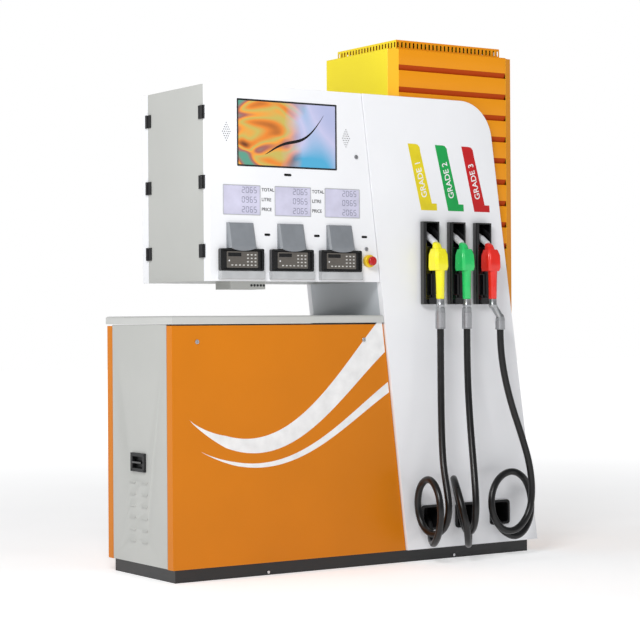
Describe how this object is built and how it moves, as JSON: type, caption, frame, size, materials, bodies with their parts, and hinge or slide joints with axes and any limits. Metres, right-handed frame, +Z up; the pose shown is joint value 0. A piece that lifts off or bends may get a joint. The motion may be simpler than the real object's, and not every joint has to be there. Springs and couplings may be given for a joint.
{
  "type": "fuel dispenser",
  "caption": "Fuel dispenser with a hydraulic cabinet, a cantilevered head with display and keypads, and a slanted hose module with hung nozzles and slack hoses.",
  "frame": {"origin": "middle of the four anchor-bolt holes, on the floor under the plinth", "axes": "+Z up, +X from the cabinet towards the hose module, -Y towards the customer"},
  "size_m": [1.885, 0.8071, 2.253],
  "materials": {
    "white_paint": "satin",
    "pale_grey_paint": "satin",
    "grey_paint": "satin",
    "orange_paint": "satin",
    "mast_yellow_paint": "satin",
    "black_paint": "satin",
    "galvanised_frame": "matte",
    "black_plastic": "fine texture",
    "gloss_black": "glossy",
    "hood_grey": "satin",
    "ledge_grey": "satin",
    "screen_glass": "glossy",
    "display_glass": "glossy",
    "lock_chrome": "polished",
    "stop_red": "glossy",
    "stop_yellow": "glossy",
    "nozzle_yellow": "glossy",
    "nozzle_green": "glossy",
    "nozzle_red": "glossy",
    "spout_aluminium": "satin",
    "coupling_steel": "satin",
    "hose_rubber": "satin",
    "belt_rubber": "matte",
    "pump_iron": "painted casting",
    "motor_aluminium": "painted casting",
    "pulley_iron": "machined",
    "meter_aluminium": "cast",
    "pipe_steel": "drawn",
    "electronics_case": "matte"
  },
  "bodies": {
    "cabinet": {"plinth_frame": "black_paint", "cabinet_frame": "galvanised_frame", "cabinet_side_panel": "grey_paint", "cabinet_top_cover": "pale_grey_paint", "isolator_housing": "black_plastic", "mast_frame": "galvanised_frame", "module_side_wall": "grey_paint", "front_sail_panel": "white_paint", "rear_sail_panel": "white_paint", "mast_claddings": "mast_yellow_paint", "mast_vent_cap": "mast_yellow_paint", "head_casing": "grey_paint", "head_junction_box": "grey_paint", "casing_hinge_leaves": "black_paint", "control_electronics": "electronics_case", "nozzle_boots": "gloss_black", "hose_outlets": "black_plastic", "hose_1": "hose_rubber", "hose_2": "hose_rubber", "hose_3": "hose_rubber", "pump_unit": "pump_iron", "pump_motor": "motor_aluminium", "drive_belt": "belt_rubber", "flow_meters": "meter_aluminium", "product_pipes": "pipe_steel"},
    "front_door": {"front_cabinet_door": "orange_paint"},
    "rear_door": {"rear_cabinet_door": "orange_paint"},
    "front_left_lock": {"front_door_left_lock": "lock_chrome"},
    "front_right_lock": {"front_door_right_lock": "lock_chrome"},
    "rear_lock": {"rear_door_lock": "lock_chrome"},
    "isolator_switch": {"isolator_handle": "gloss_black"},
    "head_door": {"head_front_door": "white_paint", "advert_screen": "screen_glass", "sales_displays": "display_glass", "keypads": "black_plastic", "keypad_hoods": "hood_grey", "keypad_ledges": "ledge_grey", "sensor_windows": "gloss_black", "stop_button_collar": "stop_yellow", "front_hinge_leaves": "black_paint"},
    "head_back_door": {"head_rear_door": "white_paint", "rear_hinge_leaves": "black_paint"},
    "emergency_button": {"stop_button": "stop_red"},
    "head_upper_lock": {"head_front_upper_lock": "lock_chrome"},
    "head_lower_lock": {"head_front_lower_lock": "lock_chrome"},
    "head_back_lock": {"head_rear_lock": "lock_chrome"},
    "pump_drive": {"pump_pulley": "pulley_iron"},
    "motor_drive": {"motor_pulley": "pulley_iron"},
    "nozzle_1": {"nozzle_body_1": "nozzle_yellow", "nozzle_spout_1": "spout_aluminium", "hose_coupling_1": "coupling_steel"},
    "lever_1": {"nozzle_lever_1": "coupling_steel"},
    "nozzle_2": {"nozzle_body_2": "nozzle_green", "nozzle_spout_2": "spout_aluminium", "hose_coupling_2": "coupling_steel"},
    "lever_2": {"nozzle_lever_2": "coupling_steel"},
    "nozzle_3": {"nozzle_body_3": "nozzle_red", "nozzle_spout_3": "spout_aluminium", "hose_coupling_3": "coupling_steel"},
    "lever_3": {"nozzle_lever_3": "coupling_steel"}
  },
  "joints": [
    {"name": "front_door_tilt", "type": "hinge", "parent": "cabinet", "child": "front_door", "pos_m": [-0.4, -0.262, 0.058], "axis": [1, 0, 0], "range_deg": [0, 10]},
    {"name": "rear_door_tilt", "type": "hinge", "parent": "cabinet", "child": "rear_door", "pos_m": [-0.4, 0.262, 0.058], "axis": [-1, 0, 0], "range_deg": [0, 10]},
    {"name": "front_left_lock_turn", "type": "hinge", "parent": "front_door", "child": "front_left_lock", "pos_m": [-0.815, -0.275, 0.96], "axis": [0, -1, 0], "range_deg": [0, 90]},
    {"name": "front_right_lock_turn", "type": "hinge", "parent": "front_door", "child": "front_right_lock", "pos_m": [-0.001, -0.275, 0.96], "axis": [0, -1, 0], "range_deg": [0, 90]},
    {"name": "rear_lock_turn", "type": "hinge", "parent": "rear_door", "child": "rear_lock", "pos_m": [-0.4, 0.275, 0.96], "axis": [0, 1, 0], "range_deg": [0, 90]},
    {"name": "isolator_throw", "type": "hinge", "parent": "cabinet", "child": "isolator_switch", "pos_m": [-0.928, 0.002, 0.4685], "axis": [0, 1, 0], "range_deg": [0, 25]},
    {"name": "head_door_swing", "type": "hinge", "parent": "cabinet", "child": "head_door", "pos_m": [-0.761, -0.23, 1.6], "axis": [0, 0, -1], "range_deg": [0, 110]},
    {"name": "head_back_door_swing", "type": "hinge", "parent": "cabinet", "child": "head_back_door", "pos_m": [-0.761, 0.23, 1.6], "axis": [0, 0, 1], "range_deg": [0, 110]},
    {"name": "stop_press", "type": "slide", "parent": "head_door", "child": "emergency_button", "axis": [0, 1, 0], "range_m": [0, 0.005], "stiffness_N_per_m": 400},
    {"name": "head_upper_lock_turn", "type": "hinge", "parent": "head_door", "child": "head_upper_lock", "pos_m": [-0.039, -0.281, 1.73], "axis": [0, -1, 0], "range_deg": [0, 90]},
    {"name": "head_lower_lock_turn", "type": "hinge", "parent": "head_door", "child": "head_lower_lock", "pos_m": [0.011, -0.281, 1.343], "axis": [0, -1, 0], "range_deg": [0, 90]},
    {"name": "head_back_lock_turn", "type": "hinge", "parent": "head_back_door", "child": "head_back_lock", "pos_m": [-0.039, 0.281, 1.6], "axis": [0, 1, 0], "range_deg": [0, 90]},
    {"name": "pump_spin", "type": "hinge", "parent": "cabinet", "child": "pump_drive", "pos_m": [-0.56, -0.16, 0.3], "axis": [0, 1, 0], "continuous": true},
    {"name": "motor_spin", "type": "hinge", "parent": "cabinet", "child": "motor_drive", "pos_m": [-0.3, -0.16, 0.23], "axis": [0, 1, 0], "continuous": true},
    {"name": "nozzle_1_pull", "type": "slide", "parent": "cabinet", "child": "nozzle_1", "axis": [0, -1, 0], "range_m": [0, 0.14], "deforming": ["hose_1"]},
    {"name": "lever_1_squeeze", "type": "hinge", "parent": "nozzle_1", "child": "lever_1", "pos_m": [0.332, -0.335, 1.24], "axis": [-1, 0, 0], "range_deg": [0, 9], "stiffness_Nm_per_rad": 0.6},
    {"name": "nozzle_2_pull", "type": "slide", "parent": "cabinet", "child": "nozzle_2", "axis": [0, -1, 0], "range_m": [0, 0.14], "deforming": ["hose_2"]},
    {"name": "lever_2_squeeze", "type": "hinge", "parent": "nozzle_2", "child": "lever_2", "pos_m": [0.476, -0.335, 1.24], "axis": [-1, 0, 0], "range_deg": [0, 9], "stiffness_Nm_per_rad": 0.6},
    {"name": "nozzle_3_pull", "type": "slide", "parent": "cabinet", "child": "nozzle_3", "axis": [0, -1, 0], "range_m": [0, 0.14], "deforming": ["hose_3"]},
    {"name": "lever_3_squeeze", "type": "hinge", "parent": "nozzle_3", "child": "lever_3", "pos_m": [0.62, -0.335, 1.24], "axis": [-1, 0, 0], "range_deg": [0, 9], "stiffness_Nm_per_rad": 0.6}
  ],
  "couplings": [
    {"joint": "motor_spin", "follows": "pump_spin", "ratio": 2}
  ]
}
